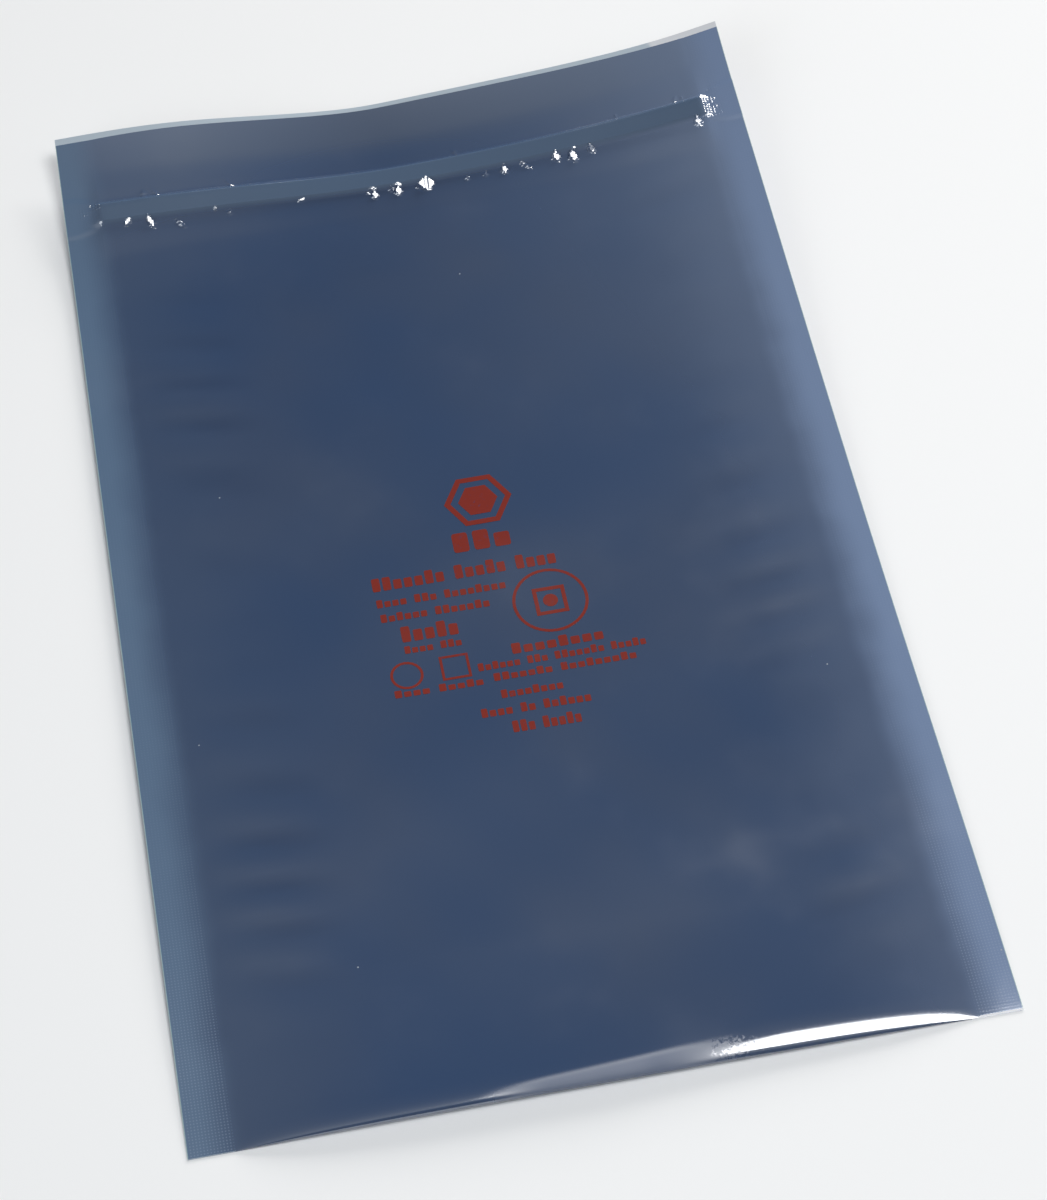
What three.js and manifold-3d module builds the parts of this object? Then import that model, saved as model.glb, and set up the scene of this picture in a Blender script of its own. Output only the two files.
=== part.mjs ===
// A flat bag of metallised film with a press-to-close zip, lying empty on a table.
// Millimetres. +X runs across the bag, +Y toward its mouth and +Z up from the table.
//
// A place on the film is given as it was cut, flat: "across" and "along" from the middle of the bag.
// lay() says how high that place stands off the table, and place() bends the sheet there without
// stretching it.
import * as THREE from "three";
import { mergeVertices } from "three/addons/utils/BufferGeometryUtils.js";
import Module from "manifold-3d";

const wasm = await Module();
wasm.setup();

// The web of film: folded at the bottom, sealed down both sides
const BAG_WIDTH = 171.5;
const BAG_LENGTH = 279.4;
const SEAL_WIDTH = 9.5;
const FILM_THICKNESS = 0.08;
const LIP_STEP = 1.9; // the front lip stops this far short of the back lip
const SEAM_GAP = 0.06; // where the two layers part, along the inner line of a seal
const SEAL_SHOULDER = 1.2; // the front layer comes down to the fused seal over this width

// The air left inside: the empty pouch, the fold that springs open, and the mouth
const POUCH_RISE = 0.9;
const FOLD_RISE = 3.1;
const FOLD_REACH = 34; // the fold's swelling dies away over this length
const FOLD_DEPTH = 6.5; // the rounded end of the fold, measured along the bag
const SEALED_FOLD_DEPTH = 0.3; // the same where a side seal presses the fold flat
const FOLD_LOW_SHARE = 0.35; // the crease of the fold stands this share of the way up
const MOUTH_RISE = 0.7;
const CROWN_POWER = 4; // the higher, the closer to a side seal the film starts to come down

// How the bag lies: what stands off the table, how high, and how far that reaches
const RIGHT_CURL = { height: 14.3, reachAcross: 120, reachAlong: 208 };
const LEFT_CURL = { height: 3.2, reachAcross: 120, reachAlong: 53 };
const SIDE_LIFT = { height: 1.2, reachAcross: 52, fadeAlong: 78 };
const LIP_WAVES = [
  { height: 5.5, centre: -56, halfWidth: 53, reachAlong: 64 },
  { height: 2.3, centre: 15, halfWidth: 62, reachAlong: 27 },
];

// The press-to-close zip: two strips welded inside, a rib that snaps into a groove
const ZIP_BELOW_LIP = 25;
const WELD_GAP = 0.05; // between a strip and the film that it is welded to
const FLANGE = { halfWidth: 5.6, thickness: 0.1 };
const FLANGE_ROOM = 0.45; // between the two layers of film, over the closed flanges
const BEAD = { halfWidth: 2.4, height: 1.4, shoulder: 1 };
const GROOVE = {
  floor: 0.24,
  innerHalf: 0.62,
  outerHalf: 0.95,
  throatHalf: 0.3,
  hookUnder: 0.74,
  hookTop: 0.99,
};
const GUIDE = { foot: 0.19, innerHalf: 1.95, outerHalf: 2.25, top: 1.19 };
const RIB = {
  rootHalf: 0.45,
  root: 1.15,
  stemHalf: 0.2,
  headHalf: 0.5,
  headTop: 0.64,
  tipHalf: 0.12,
  tipUnder: 0.34,
};
const CRIMP_THICKNESS = 0.4; // the zip's ends, crushed flat into the side seals
const STRIP_END_GAP = 0.3; // a strip ends this far before the seals that its ends are fused into
const HUG = 0.15; // the front layer hugs the zip this far past the edge of its flange
const SKIRT_WIDTH = 0.85; // and comes down to the back layer over this width

// How finely the surfaces are divided
const POUCH_COLUMNS = 20;
const FOLD_ROWS = 5;
const SWELLING_ROWS = 5;
const POUCH_ROWS = 17;
const LIP_ROWS = 4;
const BEND_STEPS = 24; // from the middle line to the edge, when the climb of the sheet is added up
const MERGE_DISTANCE = 1e-4;

const HALF_WIDTH = BAG_WIDTH / 2;
const HALF_LENGTH = BAG_LENGTH / 2;
const SEAL_LINE = HALF_WIDTH - SEAL_WIDTH;
const ZIP_LINE = HALF_LENGTH - ZIP_BELOW_LIP;
const FRONT_LIP = HALF_LENGTH - LIP_STEP;
const WELD_EDGE = FLANGE.halfWidth + HUG;
const ZIP_SKIRT = WELD_EDGE + SKIRT_WIDTH; // this far from the zip's middle the film lies free again
const CUT_MARGIN = 2; // a cutting body runs this far past what it cuts
const QUARTER_TURN = Math.PI / 2;

// 1 at the edge that the distance is measured from, easing to 0 at its reach
function ease(distance, reach) {
  return Math.max(0, 1 - distance / reach) ** 2;
}

// 1 at its middle, with smooth ends at its half width
function swell(offset, halfWidth) {
  return (1 - Math.min(1, Math.abs(offset / halfWidth)) ** 2) ** 2;
}

// 1 over most of the pouch, pinched to 0 at both side seals
function crown(across) {
  return 1 - Math.min(1, Math.abs(across) / SEAL_LINE) ** CROWN_POWER;
}

// The height at an offset on straight lines through [offset, height] stops
function through(stops, offset) {
  const next = Math.max(1, stops.findIndex(([at]) => at >= offset));
  const [fromAt, from] = stops[next - 1];
  const [toAt, to] = stops[next];
  return THREE.MathUtils.mapLinear(offset, fromAt, toAt, from, to);
}

// Count places from one to just short of the other
function stations(from, to, count) {
  return Array.from({ length: count }, (_, i) => THREE.MathUtils.lerp(from, to, i / count));
}

// Height of the sheet's underside above the table
function lay(across, along) {
  const fromRight = HALF_WIDTH - across;
  const fromLeft = HALF_WIDTH + across;
  const fromLip = HALF_LENGTH - along;
  const fromFold = HALF_LENGTH + along;
  const right = ease(fromRight, RIGHT_CURL.reachAcross) * ease(fromLip, RIGHT_CURL.reachAlong);
  const left = ease(fromLeft, LEFT_CURL.reachAcross) * ease(fromLip, LEFT_CURL.reachAlong);
  const sides = ease(fromRight, SIDE_LIFT.reachAcross) + ease(fromLeft, SIDE_LIFT.reachAcross);
  const pressedByFold = Math.min(1, ease(fromFold, SIDE_LIFT.fadeAlong));
  let height = RIGHT_CURL.height * right + LEFT_CURL.height * left;
  height += SIDE_LIFT.height * sides * (1 - pressedByFold);
  for (const wave of LIP_WAVES) {
    height += wave.height * swell(across - wave.centre, wave.halfWidth) * ease(fromLip, wave.reachAlong);
  }
  return height;
}

// How far a stretch of film reaches in plan from the middle line: what it climbs comes off
function planReach(distance, heightAt) {
  const step = distance / BEND_STEPS;
  let reach = 0;
  for (let i = 0; i < BEND_STEPS; i++) {
    const climb = heightAt((i + 1) * step) - heightAt(i * step);
    reach += Math.sign(step) * Math.sqrt(step ** 2 - climb ** 2);
  }
  return reach;
}

// A point on the lying bag, by its place on the film and its height above the film's underside
function place(across, along, height) {
  const x = planReach(across, (a) => lay(a, along));
  const y = planReach(along, (a) => lay(across, a));
  return new THREE.Vector3(x, y, lay(across, along) + height);
}

// Room between the two layers over the zip, by the distance from its middle
const BEAD_FOOT = BEAD.halfWidth + BEAD.shoulder;
const ZIP_ROOM = [
  [-ZIP_SKIRT, SEAM_GAP],
  [-WELD_EDGE, FLANGE_ROOM],
  [-BEAD_FOOT, FLANGE_ROOM],
  [-BEAD.halfWidth, BEAD.height],
  [BEAD.halfWidth, BEAD.height],
  [BEAD_FOOT, FLANGE_ROOM],
  [WELD_EDGE, FLANGE_ROOM],
  [ZIP_SKIRT, SEAM_GAP],
];

// Room between the two layers of film, anywhere between the side seals
function room(across, along) {
  const toZip = along - ZIP_LINE;
  if (Math.abs(toZip) <= ZIP_SKIRT) return through(ZIP_ROOM, toZip);
  if (toZip > 0) {
    const towardLip = (toZip - ZIP_SKIRT) / (ZIP_BELOW_LIP - ZIP_SKIRT);
    return SEAM_GAP + MOUTH_RISE * crown(across) * towardLip ** 2;
  }
  const fromFold = HALF_LENGTH + along;
  const towardZip = fromFold / (HALF_LENGTH + ZIP_LINE - ZIP_SKIRT);
  const pouch = POUCH_RISE * (1 - (2 * towardZip - 1) ** 2);
  return SEAM_GAP + crown(across) * (FOLD_RISE * ease(fromFold, FOLD_REACH) + pouch);
}

// Thickness of a side seal, where the zip's crushed ends are fused into it
const SEAL_STOPS = [
  [-ZIP_SKIRT, 2 * FILM_THICKNESS],
  [-WELD_EDGE, CRIMP_THICKNESS],
  [WELD_EDGE, CRIMP_THICKNESS],
  [ZIP_SKIRT, 2 * FILM_THICKNESS],
];
function sealThickness(along) {
  const toZip = along - ZIP_LINE;
  return Math.abs(toZip) <= ZIP_SKIRT ? through(SEAL_STOPS, toZip) : 2 * FILM_THICKNESS;
}

// Rows up the bag: round the fold they are a turn, and from there on a place along the film
function filmRows(...ends) {
  const foldEnd = FOLD_DEPTH - HALF_LENGTH;
  const swellingEnd = FOLD_REACH - HALF_LENGTH;
  const places = [
    ...stations(foldEnd, swellingEnd, SWELLING_ROWS),
    ...stations(swellingEnd, ZIP_LINE - ZIP_SKIRT, POUCH_ROWS),
    ...ZIP_ROOM.map(([offset]) => ZIP_LINE + offset),
    ...stations(ZIP_LINE + ZIP_SKIRT, FRONT_LIP, LIP_ROWS).slice(1),
    ...ends,
  ];
  const turns = stations(0, QUARTER_TURN, FOLD_ROWS);
  return [...turns.map((turn) => ({ turn })), ...places.map((along) => ({ along, turn: QUARTER_TURN }))];
}

// The front and back points of one column of the film, on its outside or on its inside
function filmColumn(across, rows, skin) {
  const inPouch = Math.abs(across) <= SEAL_LINE;
  const depth = THREE.MathUtils.lerp(SEALED_FOLD_DEPTH, FOLD_DEPTH, crown(across));
  const inset = FILM_THICKNESS - skin;
  return rows.map((row) => {
    const bend = Math.sin(row.turn);
    const along = row.along ?? inset - HALF_LENGTH + (depth - inset) * (1 - Math.cos(row.turn));
    const space = inPouch ? room(across, along) : sealThickness(along) - 2 * FILM_THICKNESS;
    const crease = FILM_THICKNESS + FOLD_LOW_SHARE * space;
    const front = crease + bend * ((1 - FOLD_LOW_SHARE) * space + skin);
    const back = crease - bend * (FOLD_LOW_SHARE * space + skin);
    return [place(across, along, front), place(across, along, back)];
  });
}

// A closed body between the front and back points of a grid of columns
function closedBody(columns) {
  const [width, length] = [columns.length, columns[0].length];
  const positions = columns.flat(2).flatMap((point) => point.toArray());
  const front = (column, row) => (column * length + row) * 2;
  const back = (column, row) => front(column, row) + 1;
  const index = [];
  const quad = (a, b, c, d) => index.push(a, b, c, a, c, d);
  for (let c = 0; c < width - 1; c++) {
    for (let r = 0; r < length - 1; r++) {
      quad(front(c, r), front(c + 1, r), front(c + 1, r + 1), front(c, r + 1));
      quad(back(c, r), back(c, r + 1), back(c + 1, r + 1), back(c + 1, r));
    }
    quad(back(c, 0), back(c + 1, 0), front(c + 1, 0), front(c, 0));
    quad(front(c, length - 1), front(c + 1, length - 1), back(c + 1, length - 1), back(c, length - 1));
  }
  for (let r = 0; r < length - 1; r++) {
    quad(front(0, r), front(0, r + 1), back(0, r + 1), back(0, r));
    quad(back(width - 1, r), back(width - 1, r + 1), front(width - 1, r + 1), front(width - 1, r));
  }
  return bodyOf(positions, index);
}

// A body from points and triangles, with the points that coincide merged
function bodyOf(positions, index) {
  const geometry = new THREE.BufferGeometry();
  geometry.setAttribute("position", new THREE.Float32BufferAttribute(positions, 3));
  geometry.setIndex(index);
  const merged = mergeVertices(geometry, MERGE_DISTANCE);
  const corners = Array.from(merged.index.array);
  const triangles = [];
  for (let i = 0; i < corners.length; i += 3) {
    const [a, b, c] = corners.slice(i, i + 3);
    if (a !== b && b !== c && c !== a) triangles.push(a, b, c);
  }
  merged.setIndex(triangles);
  return merged;
}

function toSolid(geometry) {
  const vertProperties = new Float32Array(geometry.attributes.position.array);
  const triVerts = new Uint32Array(geometry.index.array);
  return new wasm.Manifold(new wasm.Mesh({ numProp: 3, vertProperties, triVerts }));
}

function toGeometry(solid) {
  const { vertProperties, triVerts } = solid.getMesh();
  const geometry = new THREE.BufferGeometry();
  geometry.setAttribute("position", new THREE.BufferAttribute(new Float32Array(vertProperties), 3));
  geometry.setIndex(new THREE.BufferAttribute(new Uint32Array(triVerts), 1));
  geometry.computeVertexNormals();
  return geometry;
}

const pouchColumns = [...stations(-SEAL_LINE, SEAL_LINE, POUCH_COLUMNS), SEAL_LINE];
const shoulder = SEAL_LINE + SEAL_SHOULDER;
const bagColumns = [-HALF_WIDTH, -shoulder, ...pouchColumns, shoulder, HALF_WIDTH];

// The bag: one web of film, hollow between the seals and open at the mouth
function filmGeometry() {
  const outerRows = filmRows(FRONT_LIP, HALF_LENGTH);
  const innerRows = filmRows(FRONT_LIP, HALF_LENGTH, HALF_LENGTH + CUT_MARGIN);
  const outside = closedBody(bagColumns.map((across) => filmColumn(across, outerRows, FILM_THICKNESS)));
  const inside = closedBody(pouchColumns.map((across) => filmColumn(across, innerRows, 0)));
  const web = toSolid(outside).subtract(toSolid(inside));
  return toGeometry(web.subtract(toSolid(lipTrim())));
}

// What is cut from the front layer, so that its lip stops short of the back one
function lipTrim() {
  const floor = FILM_THICKNESS + SEAM_GAP / 2;
  const top = BEAD.height + CUT_MARGIN;
  const edge = HALF_WIDTH + CUT_MARGIN;
  const column = (across) =>
    [FRONT_LIP, HALF_LENGTH, HALF_LENGTH + CUT_MARGIN].map((along) => [
      place(across, along, top),
      place(across, along, floor),
    ]);
  return closedBody([-edge, ...bagColumns, edge].map(column));
}

// A strip of the zip: its section swept across the bag, from one crimped end to the other
function stripGeometry(section) {
  const end = SEAL_LINE - STRIP_END_GAP;
  const columns = [-end, ...pouchColumns.slice(1, -1), end];
  const sides = section.length;
  const positions = columns.flatMap((across) =>
    section.flatMap((corner) => place(across, ZIP_LINE + corner.x, FILM_THICKNESS + corner.y).toArray()),
  );
  const index = [];
  for (let c = 0; c < columns.length - 1; c++) {
    for (let i = 0; i < sides; i++) {
      const [a, b] = [c * sides + i, c * sides + ((i + 1) % sides)];
      index.push(a, b, b + sides, a, b + sides, a + sides);
    }
  }
  const last = (columns.length - 1) * sides;
  for (const [a, b, c] of THREE.ShapeUtils.triangulateShape(section, [])) {
    index.push(c, b, a, last + a, last + b, last + c);
  }
  const geometry = bodyOf(positions, index);
  geometry.computeVertexNormals();
  return geometry;
}

// Both halves of a section: the right half given from the middle outward, and its mirror image
function bothHalves(top, under) {
  const mirrored = (half) => half.map(([x, y]) => [-x, y]).reverse();
  const outline = [...mirrored(top), ...top, ...under, ...mirrored(under)];
  return outline.reverse().map(([x, y]) => new THREE.Vector2(x, y));
}

// The strip on the back layer: a flange, two hooks that make a groove, and a guide on each side
function grooveSection() {
  const flangeTop = WELD_GAP + FLANGE.thickness;
  const topHalf = [
    [GROOVE.innerHalf, GROOVE.floor],
    [GROOVE.innerHalf, GROOVE.hookUnder],
    [GROOVE.throatHalf, GROOVE.hookUnder],
    [GROOVE.throatHalf, (GROOVE.hookUnder + GROOVE.hookTop) / 2],
    [(GROOVE.throatHalf + GROOVE.innerHalf) / 2, GROOVE.hookTop],
    [GROOVE.outerHalf, GROOVE.hookTop],
    [GROOVE.outerHalf, GUIDE.foot],
    [GUIDE.innerHalf, GUIDE.foot],
    [GUIDE.innerHalf, GUIDE.top],
    [GUIDE.outerHalf, GUIDE.top],
    [GUIDE.outerHalf, flangeTop],
    [FLANGE.halfWidth, flangeTop],
  ];
  return bothHalves(topHalf, [[FLANGE.halfWidth, WELD_GAP]]);
}

// The strip under the front layer: a flange that drapes over the bead, and the arrow-headed rib
function ribSection() {
  const beadTop = BEAD.height - WELD_GAP;
  const flangeTop = FLANGE_ROOM - WELD_GAP;
  const beadUnder = beadTop - FLANGE.thickness;
  const flangeUnder = flangeTop - FLANGE.thickness;
  const topHalf = [
    [BEAD.halfWidth - WELD_GAP, beadTop],
    [BEAD_FOOT - WELD_GAP, flangeTop],
    [FLANGE.halfWidth, flangeTop],
  ];
  const underHalf = [
    [FLANGE.halfWidth, flangeUnder],
    [BEAD_FOOT - FLANGE.thickness, flangeUnder],
    [BEAD.halfWidth - FLANGE.thickness, beadUnder],
    [RIB.rootHalf, beadUnder],
    [RIB.stemHalf, RIB.root],
    [RIB.stemHalf, RIB.headTop],
    [RIB.headHalf, RIB.headTop],
    [RIB.tipHalf, RIB.tipUnder],
  ];
  return bothHalves(topHalf, underHalf);
}

function piece(name, geometry, look) {
  const mesh = new THREE.Mesh(geometry, new THREE.MeshStandardMaterial(look));
  mesh.name = name;
  return mesh;
}

const metallisedFilm = { color: 0x3f4f6b, roughness: 0.22, metalness: 0.55 };
const clearPolythene = { color: 0xc9ced2, roughness: 0.4, metalness: 0 };

const bag = new THREE.Group();
bag.add(piece("bag_film", filmGeometry(), metallisedFilm));
bag.add(piece("zip_groove_strip", stripGeometry(grooveSection()), clearPolythene));
bag.add(piece("zip_rib_strip", stripGeometry(ribSection()), clearPolythene));

// The origin is on the table, under the middle of the bag as it lies
const extent = new THREE.Box3().setFromObject(bag);
const middle = extent.getCenter(new THREE.Vector3());
bag.position.set(-middle.x, -middle.y, -extent.min.z);

export default bag;
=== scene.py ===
# %% [markdown]
# A flat anti static shielding bag: one web of dark metallised film, folded at the bottom and heat
# sealed down both sides, with a press-to-close zip under its open lips. It lies empty on a pale table.
# Everything here is in metres, and a place on the film is given as it was cut, flat: "across" and
# "along", measured from the middle of the bag.

# %% Load the frame
import math

import bmesh
import bpy
import numpy as np
from mathutils import Matrix, Vector


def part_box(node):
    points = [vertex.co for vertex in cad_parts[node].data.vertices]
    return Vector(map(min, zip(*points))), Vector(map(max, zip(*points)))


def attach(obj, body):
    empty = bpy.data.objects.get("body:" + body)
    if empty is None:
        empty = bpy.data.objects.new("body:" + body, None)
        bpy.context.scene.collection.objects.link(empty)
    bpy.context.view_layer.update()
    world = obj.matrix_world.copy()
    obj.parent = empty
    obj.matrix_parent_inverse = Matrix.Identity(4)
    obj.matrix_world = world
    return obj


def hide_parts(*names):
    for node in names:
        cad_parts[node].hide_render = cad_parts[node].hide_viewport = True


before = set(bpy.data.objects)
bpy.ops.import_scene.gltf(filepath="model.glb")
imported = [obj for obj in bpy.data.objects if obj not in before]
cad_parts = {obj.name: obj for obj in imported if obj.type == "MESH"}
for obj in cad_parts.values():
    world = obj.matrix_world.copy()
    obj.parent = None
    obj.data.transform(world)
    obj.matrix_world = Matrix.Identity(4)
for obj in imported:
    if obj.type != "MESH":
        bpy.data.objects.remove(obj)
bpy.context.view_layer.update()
MM = 0.001

# %% [markdown]
# The camera looks down on the bag from the front, a little from its left. Its lens and place are set so
# that the four corners of the bag fall where the photograph has them.

# %% Camera
CAMERA_PLACE = (-0.05717, -0.38649, 0.52299)
CAMERA_TURN_DEG = (35.483, 0.823, -10.723)
LENS, SENSOR = 85.5, 36


def add_camera():
    camera_data = bpy.data.cameras.new("camera")
    camera_data.lens = LENS
    camera_data.sensor_width = SENSOR
    camera_data.clip_start = 0.05
    camera_data.clip_end = 20
    camera = bpy.data.objects.new("camera", camera_data)
    bpy.context.scene.collection.objects.link(camera)
    camera.location = CAMERA_PLACE
    camera.rotation_euler = [math.radians(turn) for turn in CAMERA_TURN_DEG]
    bpy.context.scene.camera = camera


add_camera()
print("camera height above the table, mm:", round(CAMERA_PLACE[2] / MM))

# %% [markdown]
# How the bag lies. Film bends but doesn't stretch, so the shape is one height for every place on the
# sheet, and what the sheet climbs is taken off its reach in plan. The right edge curls up most, the
# left corner of the mouth a little, and the open lips stand in two low waves.

# %% The lie of the sheet
HALF_WIDTH = 171.5 / 2 * MM
HALF_LENGTH = 279.4 / 2 * MM
SEAL_WIDTH = 9.5 * MM
SEAL_LINE = HALF_WIDTH - SEAL_WIDTH
LIP_STEP = 1.9 * MM
FRONT_LIP = HALF_LENGTH - LIP_STEP
CROWN_POWER = 4
# Curls and waves: the height of each, and how far it reaches from the edges or the middle it starts at
RIGHT_CURL = {"height": 14.3 * MM, "from_side": 120 * MM, "from_lip": 208 * MM}
LEFT_CURL = {"height": 3.2 * MM, "from_side": 120 * MM, "from_lip": 53 * MM}
SIDE_LIFT = {"height": 1.2 * MM, "from_side": 52 * MM, "from_fold": 78 * MM}
LEFT_WAVE = {"height": 5.5 * MM, "middle": -56 * MM, "half_width": 53 * MM, "from_lip": 64 * MM}
RIGHT_WAVE = {"height": 2.3 * MM, "middle": 15 * MM, "half_width": 62 * MM, "from_lip": 27 * MM}
BEND_STEPS = 24


def ease(distance, reach):
    """1 at the edge that the distance is measured from, easing to 0 at its reach"""
    return np.maximum(0, 1 - distance / reach) ** 2


def swell(offset, half_width):
    """1 at its middle, with smooth ends at its half width"""
    return (1 - np.minimum(1, np.abs(offset / half_width)) ** 2) ** 2


def crown(across):
    """1 over most of the pouch, pinched to 0 at both side seals"""
    return 1 - np.minimum(1, np.abs(across) / SEAL_LINE) ** CROWN_POWER


def curl(shape, from_side, from_lip):
    """Height of a corner that curls up"""
    return shape["height"] * ease(from_side, shape["from_side"]) * ease(from_lip, shape["from_lip"])


def lip_wave(shape, across, from_lip):
    """Height of a wave of the open lips"""
    wide = swell(across - shape["middle"], shape["half_width"])
    return shape["height"] * wide * ease(from_lip, shape["from_lip"])


def lay(across, along):
    """Height of the sheet's underside above the table"""
    from_right, from_left = HALF_WIDTH - across, HALF_WIDTH + across
    from_lip, from_fold = HALF_LENGTH - along, HALF_LENGTH + along
    curls = curl(RIGHT_CURL, from_right, from_lip) + curl(LEFT_CURL, from_left, from_lip)
    sides = ease(from_right, SIDE_LIFT["from_side"]) + ease(from_left, SIDE_LIFT["from_side"])
    held_down = np.minimum(1, ease(from_fold, SIDE_LIFT["from_fold"]))
    side_lift = SIDE_LIFT["height"] * sides * (1 - held_down)
    waves = lip_wave(LEFT_WAVE, across, from_lip), lip_wave(RIGHT_WAVE, across, from_lip)
    return curls + side_lift + waves[0] + waves[1]


def plan_reach(distance, height_at):
    """How far a stretch of film reaches in plan from the middle line"""
    step = distance / BEND_STEPS
    reach = np.zeros_like(distance)
    for i in range(BEND_STEPS):
        climb = height_at((i + 1) * step) - height_at(i * step)
        reach += np.sign(step) * np.sqrt(np.maximum(step**2 - climb**2, 0))
    return reach


def place(across, along, height):
    """Points on the lying bag, by place on the film and height above the film's underside"""
    x = plan_reach(across, lambda a: lay(a, along))
    y = plan_reach(along, lambda v: lay(across, v))
    return np.stack([x, y, lay(across, along) + height], axis=-1)


corner_height = lay(np.array([HALF_WIDTH]), np.array([HALF_LENGTH]))[0]
print("height of the curled corner, mm:", round(corner_height / MM, 2))

# %% [markdown]
# The room between the two layers. Air stays in the pouch, the fold springs open at the bottom, and over
# the zip the front layer drapes across the closed bead. In the seals the layers touch, but for the
# crushed ends of the zip.

# %% The room inside
FILM = 0.08 * MM
SEAM_GAP = 0.06 * MM
LIP = 25 * MM
ZIP_LINE = HALF_LENGTH - LIP
ZIP_EDGE = 5.75 * MM
ZIP_SLACK = 10 * MM
BEAD_HALF = 2.55 * MM
BEAD_FOOT = 3.6 * MM
BEAD_ROUNDING = 0.5 * MM
FLANGE_ROOM = 0.45 * MM
BEAD_ROOM = 1.4 * MM
MOUTH_ROOM = 0.7 * MM
POUCH_ROOM = 0.9 * MM
FOLD_ROOM, FOLD_REACH = 3.1 * MM, 34 * MM
FOLD_DEPTH = 6.5 * MM
SEALED_FOLD_DEPTH = 2.5 * MM
FOLD_LOW_SHARE = 0.35
# The crushed end of the zip in a seal: its room, how far up and down it reaches near the edge of the
# bag and at the inside of the seal, how fast it ends, and how far the zip's own shape runs in
CRIMP_ROOM = 0.24 * MM
CRIMP_HALF = (5.4 * MM, 3.3 * MM)
CRIMP_WIDE_PART = 3 * MM
CRIMP_END = 0.5 * MM
RUN_IN = 3.5 * MM
PRESSED_GAP = 0.004 * MM


def smooth_fall(distance, reach):
    """1 up to distance 0, easing to 0 at the reach, level at both ends"""
    share = np.clip(distance / reach, 0, 1)
    return 1 - share**2 * (3 - 2 * share)


def zip_room(to_zip):
    """Room over the zip: the bead, its upper shoulder rounded, and slack film beside its flanges"""
    profile = np.zeros_like(to_zip)
    offsets = np.linspace(-1, 1, 5) * BEAD_ROUNDING
    for offset in offsets:
        moved = np.where(to_zip > 0, to_zip + offset, to_zip)
        profile += np.interp(np.abs(moved), [BEAD_HALF, BEAD_FOOT], [BEAD_ROOM, FLANGE_ROOM])
    return profile / len(offsets) * smooth_fall(np.abs(to_zip) - ZIP_EDGE, ZIP_SLACK)


def room(across, along):
    """Room between the two layers of film, anywhere between the side seals"""
    to_zip = along - ZIP_LINE
    from_fold = HALF_LENGTH + along
    toward_lip = np.clip((to_zip - ZIP_EDGE) / (LIP - ZIP_EDGE), 0, 1)
    mouth = MOUTH_ROOM * crown(across) * toward_lip**2
    toward_zip = np.clip(from_fold / (HALF_LENGTH + ZIP_LINE - ZIP_EDGE), 0, 1)
    swelling = FOLD_ROOM * ease(from_fold, FOLD_REACH) + POUCH_ROOM * 4 * toward_zip * (1 - toward_zip)
    space = SEAM_GAP + np.where(to_zip > 0, mouth, crown(across) * swelling)
    return np.maximum(space, zip_room(to_zip))


def seal_room(across, along):
    """Room in a side seal: none, but where the zip runs in and is crushed, wider toward the edge"""
    from_edge = HALF_WIDTH - np.abs(across)
    crimp_half = np.interp(from_edge, [CRIMP_WIDE_PART, SEAL_WIDTH], CRIMP_HALF)
    crimp = CRIMP_ROOM * smooth_fall(np.abs(along - ZIP_LINE) - crimp_half, CRIMP_END)
    run_in = smooth_fall(np.abs(across) - SEAL_LINE, RUN_IN)
    return PRESSED_GAP + np.maximum(crimp, zip_room(along - ZIP_LINE) * run_in)


print("room over the zip's bead, mm:", round(zip_room(np.zeros(1))[0] / MM, 2))


# %% [markdown]
# Thin film never lies quite smooth. Small flat tents and sharp creases stand where the stiff zip holds
# it. They could be painted on as a bump, but they are real shape on the front layer here, so they catch
# the light from any side as they do on the bag. A tent is seen when its flat face mirrors the lamp, so
# the ones that flash all face the same way.

# %% Tents and creases at the zip
# Each tent in millimetres: its place across the bag and below the bead, its half width and half length,
# how far it leans across for each millimetre along, and how steep it falls toward the pouch
BRIGHT, DULL = 0.5, 0.3
TENTS = [
    (-70.4, 1.0, 0.75, 1.15, 0.5, BRIGHT),
    (-64.7, 2.1, 0.8, 1.9, -0.35, BRIGHT),
    (-57.3, 3.6, 0.6, 1.6, -0.7, DULL),
    (-48.5, 0.6, 0.4, 0.5, 0.0, BRIGHT),
    (-45.0, 1.8, 0.4, 1.0, 0.0, DULL),
    (-27.0, 0.9, 0.8, 0.5, 0.9, BRIGHT),
    (-10.2, 1.3, 0.35, 0.55, 0.0, BRIGHT),
    (-8.9, 0.5, 0.75, 0.6, -0.9, BRIGHT),
    (-8.6, 2.6, 0.8, 1.35, -0.1, BRIGHT),
    (-4.4, 1.3, 0.35, 1.0, 0.1, BRIGHT),
    (-2.5, 0.5, 0.9, 0.75, -0.5, BRIGHT),
    (-2.6, 2.6, 0.85, 1.45, -0.1, BRIGHT),
    (4.6, 2.1, 2.3, 2.0, 0.0, BRIGHT),
    (15.0, 2.3, 0.5, 0.9, 0.0, DULL),
    (19.7, 2.2, 0.5, 0.9, 0.0, DULL),
    (24.6, 2.2, 0.8, 1.45, -0.1, BRIGHT),
    (30.0, 2.0, 0.5, 1.8, -0.8, DULL),
    (38.0, 1.7, 1.0, 1.6, -0.15, BRIGHT),
    (42.6, 0.4, 0.5, 0.5, 0.3, BRIGHT),
    (42.1, 2.9, 1.1, 1.9, -0.2, BRIGHT),
    (47.0, 1.7, 0.9, 1.5, -0.35, BRIGHT),
    (74.6, 1.9, 0.9, 1.7, -0.15, BRIGHT),
]
# How steep a tent falls to its right and at its walls, and how far it stands clear of the film below
TENT_SIDE_FALL = 0.17
TENT_WALL = 4
TENT_RISE = 0.06
TENT_SAMPLES = 15
# A cleft splits the largest tent
CLEFT = {"across": 4.6, "half_width": 0.28, "depth": 0.5, "end": 4.5}
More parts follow.
